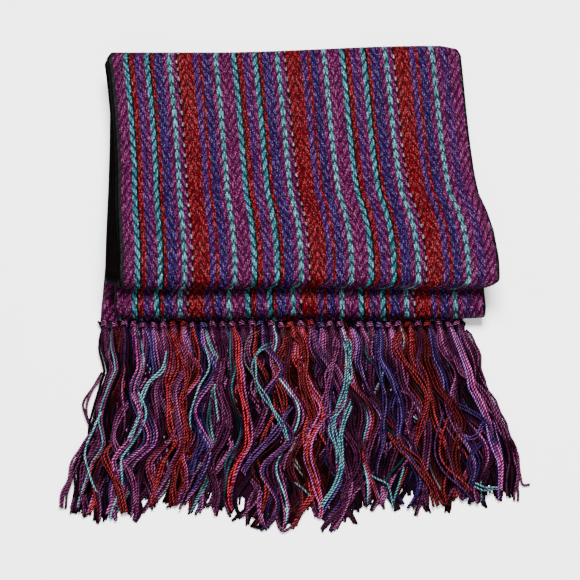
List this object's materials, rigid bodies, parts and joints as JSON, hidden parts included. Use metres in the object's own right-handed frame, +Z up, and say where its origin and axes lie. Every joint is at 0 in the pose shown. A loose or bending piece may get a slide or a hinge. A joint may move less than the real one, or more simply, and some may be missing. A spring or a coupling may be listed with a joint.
{
  "type": "woven scarf",
  "caption": "Folded woven scarf: lengthwise-striped point-twill cloth folded back and forth into a flat stack, with two knotted fringes spread out at the front.",
  "frame": {"origin": "middle of the footprint, on the surface it rests on", "axes": "+Z up, +Y away from the fringes towards the back folds, +X to the right seen from the fringes"},
  "size_m": [0.2294, 0.2846, 0.0307],
  "materials": {
    "striped_cloth": "silky warp-faced twill with lengthwise stripes",
    "cloth_reverse": "dark weft-faced side of the same cloth, matte",
    "fringe_yarn": "silky plied yarn"
  },
  "bodies": {
    "root": {"top_stretch": "striped_cloth", "lower_fold": "striped_cloth", "upper_fringed_end": "striped_cloth", "under_stretch": "striped_cloth", "middle_back_fold": "striped_cloth", "hidden_layers": "cloth_reverse", "upper_fringe": "fringe_yarn", "lower_fringe": "fringe_yarn"}
  },
  "joints": []
}
